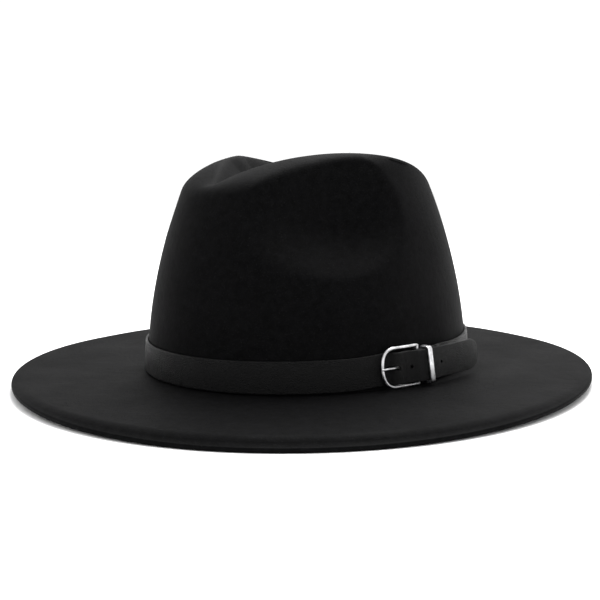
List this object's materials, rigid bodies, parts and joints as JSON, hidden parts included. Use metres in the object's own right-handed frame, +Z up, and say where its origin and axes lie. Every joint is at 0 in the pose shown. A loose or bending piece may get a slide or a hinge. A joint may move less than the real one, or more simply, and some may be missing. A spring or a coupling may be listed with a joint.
{
  "type": "wide brim fedora hat",
  "caption": "Wide brim fedora of black felt: teardrop crown with a pinched front, flat brim that droops a little in places, and a black leather strap with a metal buckle round the crown.",
  "frame": {"origin": "On the surface that the hat rests on, under the middle of its brim", "axes": "+Z is up through the crown. -Y is the front of the hat, where the crown is pinched. +X is the wearer's left, the side of the buckle"},
  "size_m": [0.3142, 0.3416, 0.1259],
  "materials": {
    "black_felt": "soft brushed wool felt, matte with a faint sheen at grazing angles",
    "black_leather": "fine pebbled grain, half matte, with cut edges a little lighter",
    "bright_metal": "polished nickel plated wire and strip"
  },
  "bodies": {
    "root": {"felt_crown_and_brim": "black_felt", "leather_strap": "black_leather", "buckle_frame": "bright_metal", "buckle_prong": "bright_metal", "keeper_loop": "bright_metal"}
  },
  "joints": []
}
